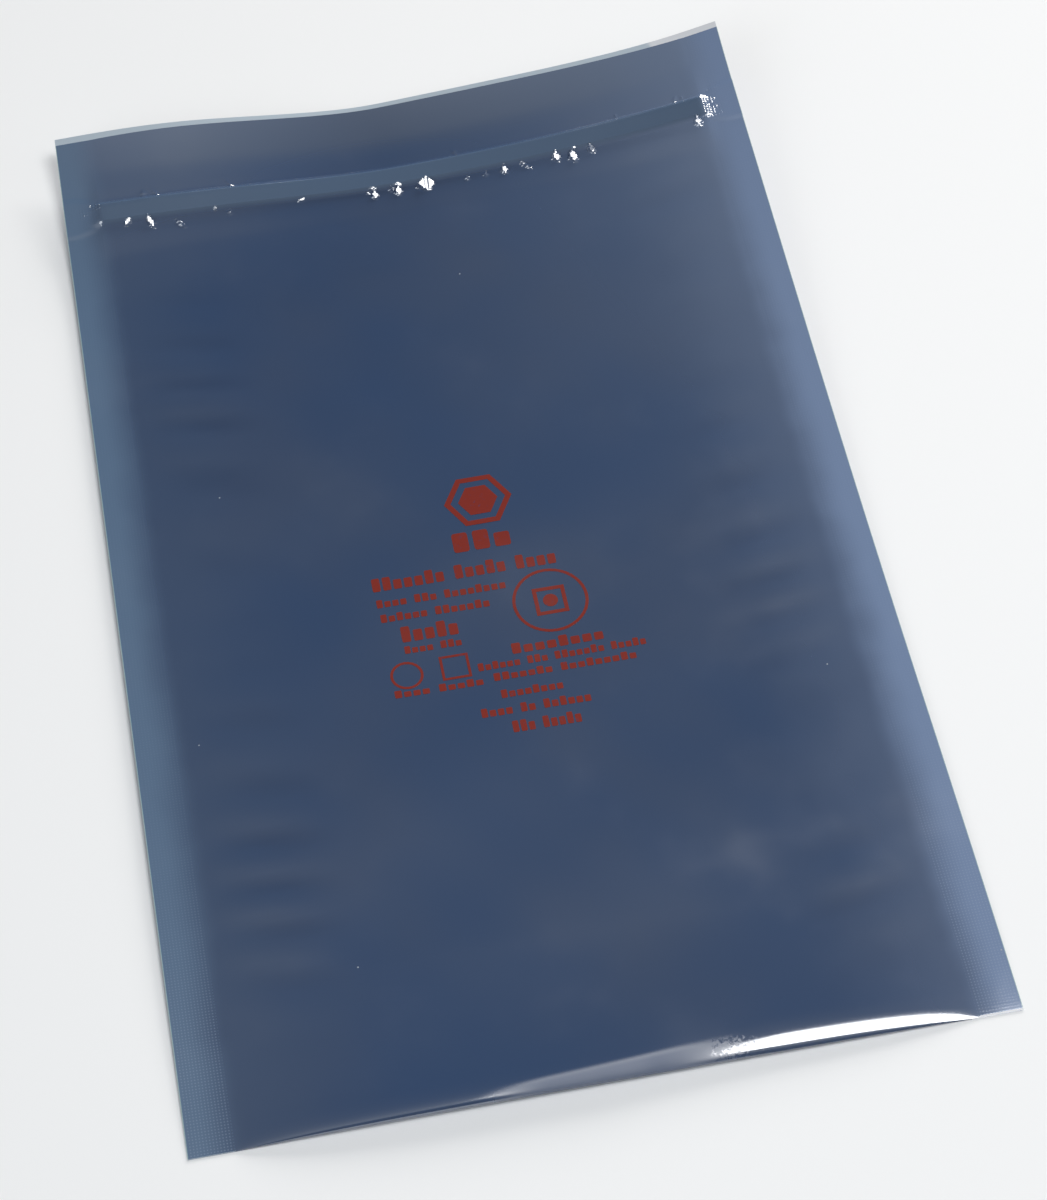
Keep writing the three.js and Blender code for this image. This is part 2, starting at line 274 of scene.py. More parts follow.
# Each crease in millimetres: its place across and from the zip's middle, its half width and half
# length, its height, and how far it leans across for each millimetre along
CREASES = [
    (-65.7, 4.6, 0.9, 1.7, 0.30, 0.0),
    (-62.8, 4.5, 0.4, 2.3, 0.28, -0.6),
    (-44.2, 4.6, 0.45, 3.0, 0.22, -0.55),
    (13.2, 4.6, 0.7, 1.6, 0.24, -0.3),
    (55.0, 4.6, 0.3, 1.9, 0.19, 0.15),
    (70.4, 4.6, 0.7, 1.6, 0.30, 0.2),
    (72.2, 4.6, 0.4, 1.4, 0.24, -0.2),
    (79.9, 4.9, 2.0, 0.35, 0.16, 0.0),
]


def sheet_slopes(across, along):
    """How steep the lying sheet itself is at one place, across and along"""
    step = 1 * MM
    here = lay(across, along)
    return (lay(across + step, along) - here) / step, (lay(across, along + step) - here) / step


def tent_top(at, below, half_length, fall):
    """Height of a tent's middle that keeps its face just clear of the film under it"""
    reach = np.linspace(-half_length, half_length, TENT_SAMPLES)
    along = ZIP_LINE - BEAD_HALF - (below + reach) * MM
    under = room(np.full(TENT_SAMPLES, at * MM), along) / MM
    return np.max(under + fall * reach) + TENT_RISE


def tent_room(across, along):
    """Room under the little flat tents where the film spans from the bead down to the pouch"""
    down = (ZIP_LINE - BEAD_HALF - along) / MM
    tallest = np.zeros_like(across)
    for at, below, half_width, half_length, lean, steep in TENTS:
        slope_across, slope_along = sheet_slopes(at * MM, ZIP_LINE - (below + BEAD_HALF / MM) * MM)
        fall = steep - slope_along
        beyond, aside = down - below, across / MM - at + lean * (down - below)
        face = tent_top(at, below, half_length, fall) - fall * beyond
        face -= (TENT_SIDE_FALL + slope_across) * aside
        outside = np.abs(aside) / half_width + np.abs(beyond) / half_length - 1
        face -= TENT_WALL * min(half_width, half_length) * np.maximum(outside, 0)
        tallest = np.maximum(tallest, face)
    aside = np.abs(across / MM - CLEFT["across"])
    cleft = CLEFT["depth"] * np.clip(1 - aside / CLEFT["half_width"], 0, 1)
    return (tallest - cleft * (down < CLEFT["end"])) * MM


def creases(across, along):
    """Small sharp ridges that the stiff zip pinches into the film"""
    height = np.zeros_like(across)
    for at, from_zip, half_width, half_length, tall, lean in CREASES:
        up = (along - ZIP_LINE) / MM - from_zip
        aside = across / MM - at - lean * up
        inside = 1 - np.abs(aside) / half_width - np.abs(up) / half_length
        height += tall * MM * np.clip(inside, 0, 1)
    return height


print(f"at the zip: {len(TENTS)} tents, {len(CREASES)} creases")

# %% [markdown]
# A side seal is a little shorter than the film beside it, so the film puckers: short uneven ripples run
# inward from both seals. The slack of the pouch makes a few broad soft waves. Sine waves give both, and
# slower sines bend and fade them, so that no two ripples are alike and every run makes the same ones.

# %% Waves of the pouch
RIPPLE_HEIGHT = 0.17 * MM
RIPPLE_LENGTH = 15 * MM
RIPPLE_REACH = 34 * MM
RIPPLE_SLANT = 14 * MM
RIPPLE_PEAK_POWER = 0.75
# How the ripples vary along a seal: length of the slow wave, and its start on the right and on the left
STRENGTH_LENGTH, STRENGTH_START = 19 * MM, (2.1, 5.5)
BEND_LENGTHS, BEND_SIZES, BEND_START = (29 * MM, 11 * MM), (2.3, 1.2), (1.0, 2.6)
# Each broad wave: its height and length in millimetres, its slant, and where it starts
BROAD_WAVES = [(0.35, 83, 0.35, 0.4), (0.16, 47, -0.5, 2.0), (0.05, 29, 1.1, 4.1)]
ZIP_FADE, FOLD_FADE = 25 * MM, 30 * MM


def ripple_strength(across, along):
    """How much the seals pucker the film: most a little inside them, and more in some places"""
    from_seal = np.clip(SEAL_LINE - np.abs(across), 0, None)
    share = np.clip(from_seal / RIPPLE_REACH, 0, 1)
    inward = np.sin(np.pi * share**RIPPLE_PEAK_POWER) ** 2
    wander = np.where(across > 0, *STRENGTH_START)
    return inward * (0.55 + 0.45 * np.sin(along / STRENGTH_LENGTH + wander))


def ripple_wave(across, along):
    """The uneven row of short waves along each seal, from -1 to 1"""
    from_seal = np.clip(SEAL_LINE - np.abs(across), 0, None)
    wander = np.where(across > 0, *BEND_START)
    bend = BEND_SIZES[0] * np.sin(along / BEND_LENGTHS[0] + wander)
    bend += BEND_SIZES[1] * np.sin(along / BEND_LENGTHS[1] + 3 * wander)
    return np.sin(2 * np.pi * along / RIPPLE_LENGTH + bend + from_seal / RIPPLE_SLANT)


def broad_waves(across, along):
    """The slack of the pouch: long waves that cross it on the slant"""
    waves = np.zeros_like(across)
    for tall, length, slant, start in BROAD_WAVES:
        way = (along + slant * across) / (length * MM)
        waves += tall * MM * (1 + np.sin(2 * np.pi * way + start))
    return waves * crown(across)


def open_pouch(across, along):
    """1 in the pouch, 0 in the seals, fading out at the zip and at the fold"""
    from_zip = np.clip((ZIP_LINE - ZIP_EDGE - along) / ZIP_FADE, 0, 1)
    from_fold = np.clip((along + HALF_LENGTH - FOLD_DEPTH) / FOLD_FADE, 0, 1)
    return np.where(np.abs(across) < SEAL_LINE, 1.0, 0.0) * from_zip * from_fold


def relief(across, along):
    """What stands on the front layer"""
    ripples = RIPPLE_HEIGHT * ripple_strength(across, along) * (1 + ripple_wave(across, along))
    return open_pouch(across, along) * (ripples + broad_waves(across, along)) + creases(across, along)


# %% [markdown]
# The film is one web, so it starts as one flat grid, twice as long as the bag. Its rows run from the
# front lip down the front, round the fold and up the back. Their spacing is fine where the film is
# worked, over the zip and round the fold, and wide where it only lies. The small tents need finer
# faces still, and those are divided once more where they stand.

# %% Rows and columns of the web
FOLD_TURNS = 10
COLUMN, SEAL_COLUMN, CRIMP_COLUMN = 1.6 * MM, 1.2 * MM, 0.4 * MM
TENT_MARGIN, CREASE_MARGIN = 1.2, 0.6


def spread(start, *stretches):
    """Places along a line: each stretch gives where it ends and the step used on the way there"""
    places = [start]
    for end, step in stretches:
        first, count = places[-1], max(1, round(abs(end - places[-1]) / step))
        places += [first + (end - first) * (i + 1) / count for i in range(count)]
    return places


def web_rows():
    """(along, turn, side) of each row, from the front lip round the fold to the back lip"""
    fold_end = FOLD_DEPTH - HALF_LENGTH
    front = spread(
        FRONT_LIP,
        (ZIP_LINE + 9 * MM, 1.3 * MM),
        (ZIP_LINE + 4 * MM, 0.7 * MM),
        (ZIP_LINE + 2 * MM, 0.16 * MM),
        (ZIP_LINE - BEAD_HALF, 1.1 * MM),
        (ZIP_LINE - BEAD_FOOT, 0.35 * MM),
        (ZIP_LINE - 8 * MM, 0.65 * MM),
        (ZIP_LINE - 14 * MM, 1.2 * MM),
        (fold_end + 28 * MM, 1.9 * MM),
        (fold_end, 1.3 * MM),
    )
    back = spread(
        fold_end,
        (fold_end + 28 * MM, 4 * MM),
        (ZIP_LINE - ZIP_EDGE, 7 * MM),
        (ZIP_LINE + ZIP_EDGE, 3 * MM),
        (HALF_LENGTH, 2.5 * MM),
    )
    turns = [math.pi / 2 * (1 - i / FOLD_TURNS) for i in range(1, FOLD_TURNS)]
    rows = [(v, math.pi / 2, 1) for v in front]
    rows += [(np.nan, turn, 1) for turn in turns] + [(np.nan, 0.0, 1)]
    rows += [(np.nan, turn, -1) for turn in reversed(turns)]
    return rows + [(v, math.pi / 2, -1) for v in back]


def web_columns():
    """Place across of each column, finer where the pouch meets the seals"""
    seal = spread(SEAL_LINE, (SEAL_LINE + 3 * CRIMP_COLUMN, CRIMP_COLUMN), (HALF_WIDTH, SEAL_COLUMN))
    return [-a for a in reversed(seal)] + spread(-SEAL_LINE, (SEAL_LINE, COLUMN))[1:-1] + seal


rows = np.array(web_rows(), float)
columns = np.array(web_columns())
print(f"web: {len(columns)} columns by {len(rows)} rows")


def on_web(flat):
    """(across, along, turn, side) of points on the flat starting grid, by how far into it they are"""
    across = np.interp((flat[:, 0] + 1) / 2 * (len(columns) - 1), np.arange(len(columns)), columns)
    row = np.round((1 - flat[:, 1]) / 2 * (len(rows) - 1), 3)
    before, after = np.floor(row).astype(int), np.ceil(row).astype(int)
    share = (row - before)[:, None]
    along, turn, side = (rows[before] * (1 - share) + rows[after] * share).T
    return across, along, turn, side


def near_marks(across, along, side):
    """True where a tent or a crease needs small faces"""
    near = np.zeros(across.shape, bool)
    for at, below, half_width, half_length, lean, _ in TENTS:
        down = (ZIP_LINE - BEAD_HALF - along) / MM
        wide = half_width + np.abs(lean) * half_length + TENT_MARGIN
        close = np.abs(down - below) < half_length + TENT_MARGIN
        near |= (np.abs(across / MM - at) < wide) & close
    for at, from_zip, half_width, half_length, _, lean in CREASES:
        up = (along - ZIP_LINE) / MM - from_zip
        wide = half_width + np.abs(lean) * half_length + CREASE_MARGIN
        close = np.abs(up) < half_length + CREASE_MARGIN
        near |= (np.abs(across / MM - at) < wide) & close
    return near & (side > 0)


# %% [markdown]
# Each point of the grid gets its place on the real film. A row knows how far it has turned round the
# fold, and a column how deep the fold is there, because the side seals press it flat. The flank of the
# fold starts at a crease and steepens toward the bottom edge, and it rises more suddenly on the left.

# %% Points of the film
FLANK_ROUNDNESS = (0.22, 0.62)
FLANK_CHANGE = (2 * MM, 36 * MM)
FLANK_BULGE = 0.15


def flank(across, turn):
    """Height of the fold's front flank, as a share of its full height, by how far it has turned"""
    down = np.cos(turn)
    roundness = np.interp(across, FLANK_CHANGE, FLANK_ROUNDNESS)
    return (1 - down) ** roundness * (1 + FLANK_BULGE * down)


def skin_points(across, along, turn, side, above=0.0):
    """Points on the outside of the film, or a little above it, and their place along it"""
    depth = SEALED_FOLD_DEPTH + (FOLD_DEPTH - SEALED_FOLD_DEPTH) * crown(across)
    along = np.where(np.isnan(along), depth * (1 - np.cos(turn)) - HALF_LENGTH, along)
    between = np.abs(across) <= SEAL_LINE
    space = np.where(between, room(across, along), seal_room(across, along))
    space = np.where(between & (side > 0), np.maximum(space, tent_room(across, along)), space)
    crease = FILM + FOLD_LOW_SHARE * space
    front = crease + flank(across, turn) * ((1 - FOLD_LOW_SHARE) * space + FILM)
    back = crease - np.sin(turn) * (FOLD_LOW_SHARE * space + FILM)
    height = np.where(side > 0, front + relief(across, along), back)
    return place(across, along, height + above), along


# %% [markdown]
# The web could be one plain grid moved point by point, but the tents need smaller faces. So a grid is
# added with its rows and columns, the faces at the tents and creases are divided, and then all points
# move to their places. Each point keeps where it is on the film, for the materials to read.

# %% Shape the web
def deselect_all():
    for thing in bpy.context.selected_objects:
        thing.select_set(False)


def points_of(piece):
    flat = np.zeros(len(piece.data.vertices) * 3)
    piece.data.vertices.foreach_get("co", flat)
    return flat.reshape(-1, 3)


def keep_place(piece, **values):
    """Keep a number for each point of a piece, for its material to read"""
    for name, numbers in values.items():
        attribute = piece.data.attributes.new(name, "FLOAT", "POINT")
        attribute.data.foreach_set("value", numbers.astype(np.float32))


def divide_at_marks(piece):
    """Smaller faces where the tents and creases stand"""
    mesh = bmesh.new()
    mesh.from_mesh(piece.data)
    middles = np.array([face.calc_center_median() for face in mesh.faces])
    across, along, _, side = on_web(middles)
    chosen = near_marks(across, along, side)
    edges = {edge for face, wanted in zip(mesh.faces, chosen) if wanted for edge in face.edges}
    bmesh.ops.subdivide_edges(mesh, edges=list(edges), cuts=3, use_grid_fill=True)
    mesh.to_mesh(piece.data)
    mesh.free()


def add_web():
    deselect_all()
    wide, long = len(columns) - 1, len(rows) - 1
    bpy.ops.mesh.primitive_grid_add(x_subdivisions=wide, y_subdivisions=long, size=2)
    piece = bpy.context.active_object
    piece.name = piece.data.name = "metallised_web"
    divide_at_marks(piece)
    across, along, turn, side = on_web(points_of(piece))
    points, along = skin_points(across, along, turn, side)
    piece.data.vertices.foreach_set("co", points.ravel())
    # The height above the table, kept for the painted light where the film stands high
    lift = lay(across, along) / MM
    # The dips of the ripples, kept for the painted shade there
    dips = ripple_strength(across, along) * np.maximum(-ripple_wave(across, along), 0)
    dips *= open_pouch(across, along)
    keep_place(piece, across=across, along=along, lift=lift, dips=dips * (side > 0))
    piece.data.update()
    return piece


web = add_web()
print("points of the web:", len(web.data.vertices))

# %% [markdown]
# The film was bent from the middle of the sheet, so its box is a hair off centre. The solid model's box
# is centred on the origin, and the web moves to it, in the mesh.

# %% Centre the web
def shift_to_solid(piece):
    points = points_of(piece)
    low, high = points.min(axis=0), points.max(axis=0)
    solid_low, solid_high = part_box("bag_film")
    shift = (np.array(solid_low + solid_high) - low - high) / 2
    shift[2] = solid_low.z - low[2]
    return shift


sheet_shift = shift_to_solid(web)
web.data.transform(Matrix.Translation(sheet_shift.tolist()))
print("shift of the sheet, mm:", np.round(sheet_shift / MM, 3))


# %% [markdown]
# Materials are built from small steps. These helpers add one node each and hand back its output.

# %% Node helpers
def new_material(name):
    """A new material, its tree of nodes and its Principled shader"""
    material = bpy.data.materials.new(name)
    material.use_nodes = True
    return material, material.node_tree, material.node_tree.nodes["Principled BSDF"]


def plug(tree, socket, value):
    """Join an output to a socket, or set the socket to a plain value"""
    if isinstance(value, bpy.types.NodeSocket):
        tree.links.new(value, socket)
    else:
        socket.default_value = value


def maths(tree, operation, a, b=0.0, clamp=False):
    """One sum of two values, such as ADD or MULTIPLY"""
    node = tree.nodes.new("ShaderNodeMath")
    node.operation = operation
    node.use_clamp = clamp
    plug(tree, node.inputs[0], a)
    plug(tree, node.inputs[1], b)
    return node.outputs[0]


def step_between(tree, value, low, high):
    """0 below low, 1 above high, smooth between. Low above high turns it round"""
    node = tree.nodes.new("ShaderNodeMapRange")
    node.interpolation_type = "SMOOTHSTEP"
    plug(tree, node.inputs["Value"], value)
    node.inputs["From Min"].default_value = min(low, high)
    node.inputs["From Max"].default_value = max(low, high)
    node.inputs["To Min"].default_value = 0.0 if low < high else 1.0
    node.inputs["To Max"].default_value = 1.0 if low < high else 0.0
    return node.outputs["Result"]


def noise(tree, scale, detail=2.0, roughness=0.5):
    """A soft random pattern over the object, about 0.5, with this many waves to the metre"""
    node = tree.nodes.new("ShaderNodeTexNoise")
    node.inputs["Scale"].default_value = scale
    node.inputs["Detail"].default_value = detail
    node.inputs["Roughness"].default_value = roughness
    place_on_object = tree.nodes.new("ShaderNodeTexCoord").outputs["Object"]
    tree.links.new(place_on_object, node.inputs["Vector"])
    return node.outputs["Fac"]


def colour_mix(tree, share, first, second):
    """The first colour at share 0, the second at share 1"""
    node = tree.nodes.new("ShaderNodeMix")
    node.data_type = "RGBA"
    colour_a, colour_b = [socket for socket in node.inputs if socket.type == "RGBA"]
    plug(tree, node.inputs["Factor"], share)
    plug(tree, colour_a, first)
    plug(tree, colour_b, second)
    return [socket for socket in node.outputs if socket.type == "RGBA"][0]


def kept(tree, name):
    """A number that the points of the piece keep"""
    node = tree.nodes.new("ShaderNodeAttribute")
    node.attribute_name = name
    return node.outputs["Fac"]


def bump(tree, height):
    """A normal from a height in metres"""
    node = tree.nodes.new("ShaderNodeBump")
    node.inputs["Strength"].default_value = 1.0
    node.inputs["Distance"].default_value = 1.0
    tree.links.new(height, node.inputs["Height"])
    return node.outputs["Normal"]


# %% [markdown]
# Everything on this bag has the same handling marks: a fine grain in the film, soft smudges that dull
# the gloss, and a few specks of dust. Film and ink share them, so they are one node group.

# %% Handling marks
GRAIN_SCALE, SMUDGE_SCALE, DUST_SCALE = 1700, 28, 95
SMUDGE_FROM, SMUDGE_TO = 0.45, 0.75
SPECK_EDGE, SPECK_CORE = 0.022, 0.012
FINE_GRAIN = 1.5e-6


def handling_group():
    tree = bpy.data.node_groups.new("handling_marks", "ShaderNodeTree")
    for name, start in (("Grain Height", FINE_GRAIN), ("Smudge", 0.1), ("Base Roughness", 0.1)):
        socket = tree.interface.new_socket(name, in_out="INPUT", socket_type="NodeSocketFloat")
        socket.default_value = start
    for name in ("Height", "Roughness", "Dust"):
        tree.interface.new_socket(name, in_out="OUTPUT", socket_type="NodeSocketFloat")
    given = tree.nodes.new("NodeGroupInput").outputs
    out = tree.nodes.new("NodeGroupOutput").inputs
    grain = maths(tree, "MULTIPLY", noise(tree, GRAIN_SCALE, 1.0), given["Grain Height"])
    tree.links.new(grain, out["Height"])
    smudged = step_between(tree, noise(tree, SMUDGE_SCALE, 3.0, 0.6), SMUDGE_FROM, SMUDGE_TO)
    smudge = maths(tree, "MULTIPLY", smudged, given["Smudge"])
    tree.links.new(maths(tree, "ADD", smudge, given["Base Roughness"]), out["Roughness"])
    cells = tree.nodes.new("ShaderNodeTexVoronoi")
    cells.inputs["Scale"].default_value = DUST_SCALE
    place_on_object = tree.nodes.new("ShaderNodeTexCoord").outputs["Object"]
    tree.links.new(place_on_object, cells.inputs["Vector"])
    specks = step_between(tree, cells.outputs["Distance"], SPECK_EDGE, SPECK_CORE)
    tree.links.new(specks, out["Dust"])
    return tree


handling = handling_group()
print("handling marks:", len(handling.nodes), "nodes")


def handling_marks(tree, grain, smudge, roughness):
    """The group's outputs in one material, with that material's own values"""
    node = tree.nodes.new("ShaderNodeGroup")
    node.node_tree = handling
    node.inputs["Grain Height"].default_value = grain
    node.inputs["Smudge"].default_value = smudge
    node.inputs["Base Roughness"].default_value = roughness
    return node.outputs


# %% [markdown]
# The metallised film is a dark, bluish, half see-through mirror. It could be a metal or a tinted glass,
# but a metal would be too bright and a glass would show the table's own colour. A dark blue-grey base
# under a strong gloss gives its look. Light and shade are painted into that colour: painted light makes
# the film paler near the edges, where light gets in under the bag and shines through, paler on the
# right, toward the lamps, and paler where it stands high; a painted grey sheen lies toward the lip; and
# painted shade darkens the dips of the ripples. The embossed side seals are palest of all, partly their
# own look and partly a painted sheen, much paler on the right.

# %% Colours of the film
DEEP_BLUE = (0.021, 0.056, 0.142, 1)
DUSTY_BLUE = (0.034, 0.064, 0.138, 1)
# Painted shade for the dips of the ripples
DIP_SHADE_BLUE = (0.012, 0.036, 0.1, 1)
# Painted light near the side edges, paler on the right, toward the lamps
RIM_LIGHT_BLUE_LEFT = (0.032, 0.066, 0.145, 1)
RIM_LIGHT_BLUE_RIGHT = (0.062, 0.1, 0.19, 1)
# The seals: their own paler look and a painted sheen, much paler on the right
SEAL_SHEEN_BLUE_LEFT = (0.1, 0.17, 0.28, 1)
SEAL_SHEEN_BLUE_RIGHT = (0.19, 0.27, 0.44, 1)
# Painted light where the film stands high
LIFT_LIGHT_BLUE = (0.2, 0.265, 0.395, 1)
# Painted grey sheen toward the lip
LIP_SHEEN_GREY = (0.075, 0.1, 0.15, 1)
BAND_BLUE = (0.075, 0.125, 0.21, 1)
# Painted highlight for the dots of the seals
DOT_GLINT_BLUE = (0.33, 0.42, 0.58, 1)
CUT_MINT = (0.4, 0.56, 0.57, 1)
DUST_GREY = (0.4, 0.44, 0.5, 1)
# How strongly the painted shade of the dips, the painted sheen toward the lip and the painted light
# where the film stands high show: the lift is by millimetre of height above the table
DIP_SHADE_SHARE, LIP_SHEEN_SHARE, LIFT_LIGHT_SHARE = 0.75, 0.5, 0.057
# How far in from the side edges the painted rim light and the seals reach, fading over the way there
RIM_LIGHT_REACH, RIM_LIGHT_FULL = 40 * MM, 4 * MM
SEAL_REACH, SEAL_FULL = 12.5 * MM, 2 * MM


def film_colour(tree, across, along, from_edge, from_zip):
    """Dark in the middle, with painted light: paler toward the edges and more so on the right, paler
    where the film stands high; a painted grey sheen toward the lip, painted shade in the ripple dips,
    and paler over the zip
    """
    base = colour_mix(tree, step_between(tree, noise(tree, 17, 2.0), 0.3, 0.7), DEEP_BLUE, DUSTY_BLUE)
    # Painted shade in the dips of the ripples
    dips = maths(tree, "MULTIPLY", kept(tree, "dips"), DIP_SHADE_SHARE)
    base = colour_mix(tree, dips, base, DIP_SHADE_BLUE)
    # Painted grey sheen toward the lip
    lip = step_between(tree, along, ZIP_LINE + ZIP_EDGE, ZIP_LINE + 16 * MM)
    base = colour_mix(tree, maths(tree, "MULTIPLY", lip, LIP_SHEEN_SHARE), base, LIP_SHEEN_GREY)
    # Painted light near the side edges, paler on the right, toward the lamps
    right = step_between(tree, across, -0.5 * SEAL_LINE, 0.8 * SEAL_LINE)
    wander = maths(tree, "MULTIPLY", maths(tree, "SUBTRACT", noise(tree, 60, 2.0), 0.5), 16 * MM)
    rim_light = step_between(tree, maths(tree, "ADD", from_edge, wander), RIM_LIGHT_REACH, RIM_LIGHT_FULL)
    base = colour_mix(tree, rim_light, base, colour_mix(tree, right, RIM_LIGHT_BLUE_LEFT, RIM_LIGHT_BLUE_RIGHT))
    # Painted light where the film stands high off the table
    lift_light = maths(tree, "MULTIPLY", kept(tree, "lift"), LIFT_LIGHT_SHARE, clamp=True)
    base = colour_mix(tree, lift_light, base, LIFT_LIGHT_BLUE)
    # The seals: partly their own paler look, partly a painted sheen, much paler on the right
    seal = colour_mix(tree, right, SEAL_SHEEN_BLUE_LEFT, SEAL_SHEEN_BLUE_RIGHT)
    small_wander = maths(tree, "MULTIPLY", wander, 0.25)
    near_seal = step_between(tree, maths(tree, "ADD", from_edge, small_wander), SEAL_REACH, SEAL_FULL)
    base = colour_mix(tree, near_seal, base, seal)
    over_zip = maths(tree, "MULTIPLY", step_between(tree, from_zip, BEAD_FOOT, BEAD_HALF),
                     step_between(tree, from_edge, SEAL_WIDTH - 2 * MM, SEAL_WIDTH + 1 * MM))
    return colour_mix(tree, over_zip, base, BAND_BLUE)


# %% [markdown]
# The jaws of the sealing machine leave rows of small dots in both side seals. They are far too many and
# too low to be modelled one by one, so two sine waves that cross make them as a bump. Where the ends of
# the zip are crushed the film is really rough, and the dots there are coarse and patchy.

# %% Dots of the seals
KNURL_PITCH, KNURL_HEIGHT = 0.95 * MM, 0.006 * MM
CRIMP_PITCH, CRIMP_HEIGHT = 1.15 * MM, 0.13 * MM
SEAL_EDGE = 0.3 * MM


def knurl(tree, across, along, pitch):
    """Rows of raised dots on the slant, from 0 to 1"""
    turns = 2 * math.pi / (pitch * math.sqrt(2))
    one = maths(tree, "SINE", maths(tree, "MULTIPLY", maths(tree, "ADD", across, along), turns))
    two = maths(tree, "SINE", maths(tree, "MULTIPLY", maths(tree, "SUBTRACT", across, along), turns))
    return maths(tree, "MAXIMUM", maths(tree, "MULTIPLY", one, two), 0.0)


def seal_dots(tree, across, along, from_edge, from_zip):
    """How much of a plain dot is at each place, and the height of all dots"""
    in_seal = step_between(tree, from_edge, SEAL_WIDTH + SEAL_EDGE, SEAL_WIDTH - SEAL_EDGE)
    patchy = step_between(tree, noise(tree, 420, 1.0), 0.42, 0.62)
    inner_part = step_between(tree, from_edge, 2.5 * MM, 6.5 * MM)
    crushed = maths(tree, "MULTIPLY", in_seal, step_between(tree, from_zip, 4.2 * MM, 3 * MM))
    in_crimp = maths(tree, "MULTIPLY", maths(tree, "MULTIPLY", crushed, inner_part), patchy)
    plain_dots = maths(tree, "MULTIPLY", knurl(tree, across, along, KNURL_PITCH), in_seal)
    crimp_dots = maths(tree, "MULTIPLY", knurl(tree, across, along, CRIMP_PITCH), in_crimp)
    height = maths(tree, "ADD", maths(tree, "MULTIPLY", plain_dots, KNURL_HEIGHT),
                   maths(tree, "MULTIPLY", crimp_dots, CRIMP_HEIGHT))
    return plain_dots, height


# %% [markdown]
# Along the fold the film is rubbed dull, more to the left than to the right, so the bright reflection on
# the flank breaks up into speckles there and fades. Only the roughness changes, since the film's colour
# and shape are the same.

# %% Rubbed fold
RUB_FROM, RUB_TO, RUB_SLANT = -135.2 * MM, -137.4 * MM, 0.05
SPECKLE_SCALE, SPECKLE_REACH = 1100, 34 * MM
SPECKLE_DULL, PLAIN_DULL = 0.3, 0.35


def rubbed_fold(tree, across, along):
    """Extra roughness where the fold is rubbed"""
    slanted = maths(tree, "SUBTRACT", along, maths(tree, "MULTIPLY", across, RUB_SLANT))
    near_fold = step_between(tree, slanted, RUB_FROM, RUB_TO)
    speckle = maths(tree, "MULTIPLY", noise(tree, SPECKLE_SCALE, 3.0, 0.7), SPECKLE_REACH)
    speckled = step_between(tree, maths(tree, "ADD", across, speckle), 47 * MM, 38 * MM)
    even = step_between(tree, across, 24 * MM, 8 * MM)
    frost = maths(tree, "ADD", maths(tree, "MULTIPLY", speckled, SPECKLE_DULL),
                  maths(tree, "MULTIPLY", even, PLAIN_DULL))
    frost = maths(tree, "MULTIPLY", frost, step_between(tree, across, -30 * MM, -12 * MM))
    return maths(tree, "MULTIPLY", near_fold, frost)


# %% [markdown]
# Now the film's three materials: the glossy outside, the milky sealing side that shows in the mouth,
# with a painted highlight toward its right end, and the thin cut edge, where the clear layers are seen
# from the end and look mint green.

# %% Materials of the film
FILM_IOR, PLASTIC_IOR = 2.9, 1.5
# The milky sealing side, and a painted highlight for its right end
SEALING_SIDE, LIP_STRIP_HIGHLIGHT = (0.47, 0.545, 0.61, 1), (0.72, 0.73, 0.76, 1)
CUT_EDGE = (0.5, 0.6, 0.62, 1)
CUT_LINE, CUT_CORE = 0.2 * MM, 0.08 * MM
PALE_DUST = (0.7, 0.73, 0.76, 1)


def film_material():
    """The outside: glossy dark film with painted light and shade, its dots with a painted highlight,
    handling marks and rubbed fold
    """
    material, tree, shader = new_material("metallised_film")
    across, along = kept(tree, "across"), kept(tree, "along")
    from_edge = maths(tree, "SUBTRACT", HALF_WIDTH, maths(tree, "ABSOLUTE", across))
    from_zip = maths(tree, "ABSOLUTE", maths(tree, "SUBTRACT", along, ZIP_LINE))
    marks = handling_marks(tree, FINE_GRAIN, 0.1, 0.1)
    plain_dots, dots = seal_dots(tree, across, along, from_edge, from_zip)
    plug(tree, shader.inputs["Normal"], bump(tree, maths(tree, "ADD", dots, marks["Height"])))

    base = film_colour(tree, across, along, from_edge, from_zip)
    # Painted highlight: the dots of the seals are drawn paler, as if lit, most toward the foot
    at_foot = step_between(tree, along, -60 * MM, -125 * MM)
    dot_glints = maths(tree, "MULTIPLY", maths(tree, "POWER", plain_dots, 2.0),
                       maths(tree, "ADD", maths(tree, "MULTIPLY", at_foot, 0.3), 0.08))
    base = colour_mix(tree, dot_glints, base, DOT_GLINT_BLUE)
    base = colour_mix(tree, step_between(tree, from_edge, CUT_LINE, CUT_CORE), base, CUT_MINT)
    plug(tree, shader.inputs["Base Color"], colour_mix(tree, marks["Dust"], base, DUST_GREY))

    dull = maths(tree, "ADD", marks["Roughness"], rubbed_fold(tree, across, along))
    plug(tree, shader.inputs["Roughness"], dull)
    shader.inputs["IOR"].default_value = FILM_IOR
    return material


def inner_material():
    """The milky sealing side of the film, inside the bag, with a painted highlight toward its right end
    """
    material, tree, shader = new_material("sealing_side")
    marks = handling_marks(tree, FINE_GRAIN, 0.1, 0.3)
    across = kept(tree, "across")
    # Painted highlight: toward the right end the sealing side is drawn near white, with a wavy edge
    highlight_edge = maths(tree, "ADD", across, maths(tree, "MULTIPLY", noise(tree, 300, 2.0), 4 * MM))
    strip_highlight = step_between(tree, highlight_edge, 69.5 * MM, 71 * MM)
    base = colour_mix(tree, strip_highlight, SEALING_SIDE, LIP_STRIP_HIGHLIGHT)
    plug(tree, shader.inputs["Base Color"], colour_mix(tree, marks["Dust"], base, PALE_DUST))
    plug(tree, shader.inputs["Roughness"], marks["Roughness"])
    plug(tree, shader.inputs["Normal"], bump(tree, marks["Height"]))
    shader.inputs["IOR"].default_value = PLASTIC_IOR
    return material


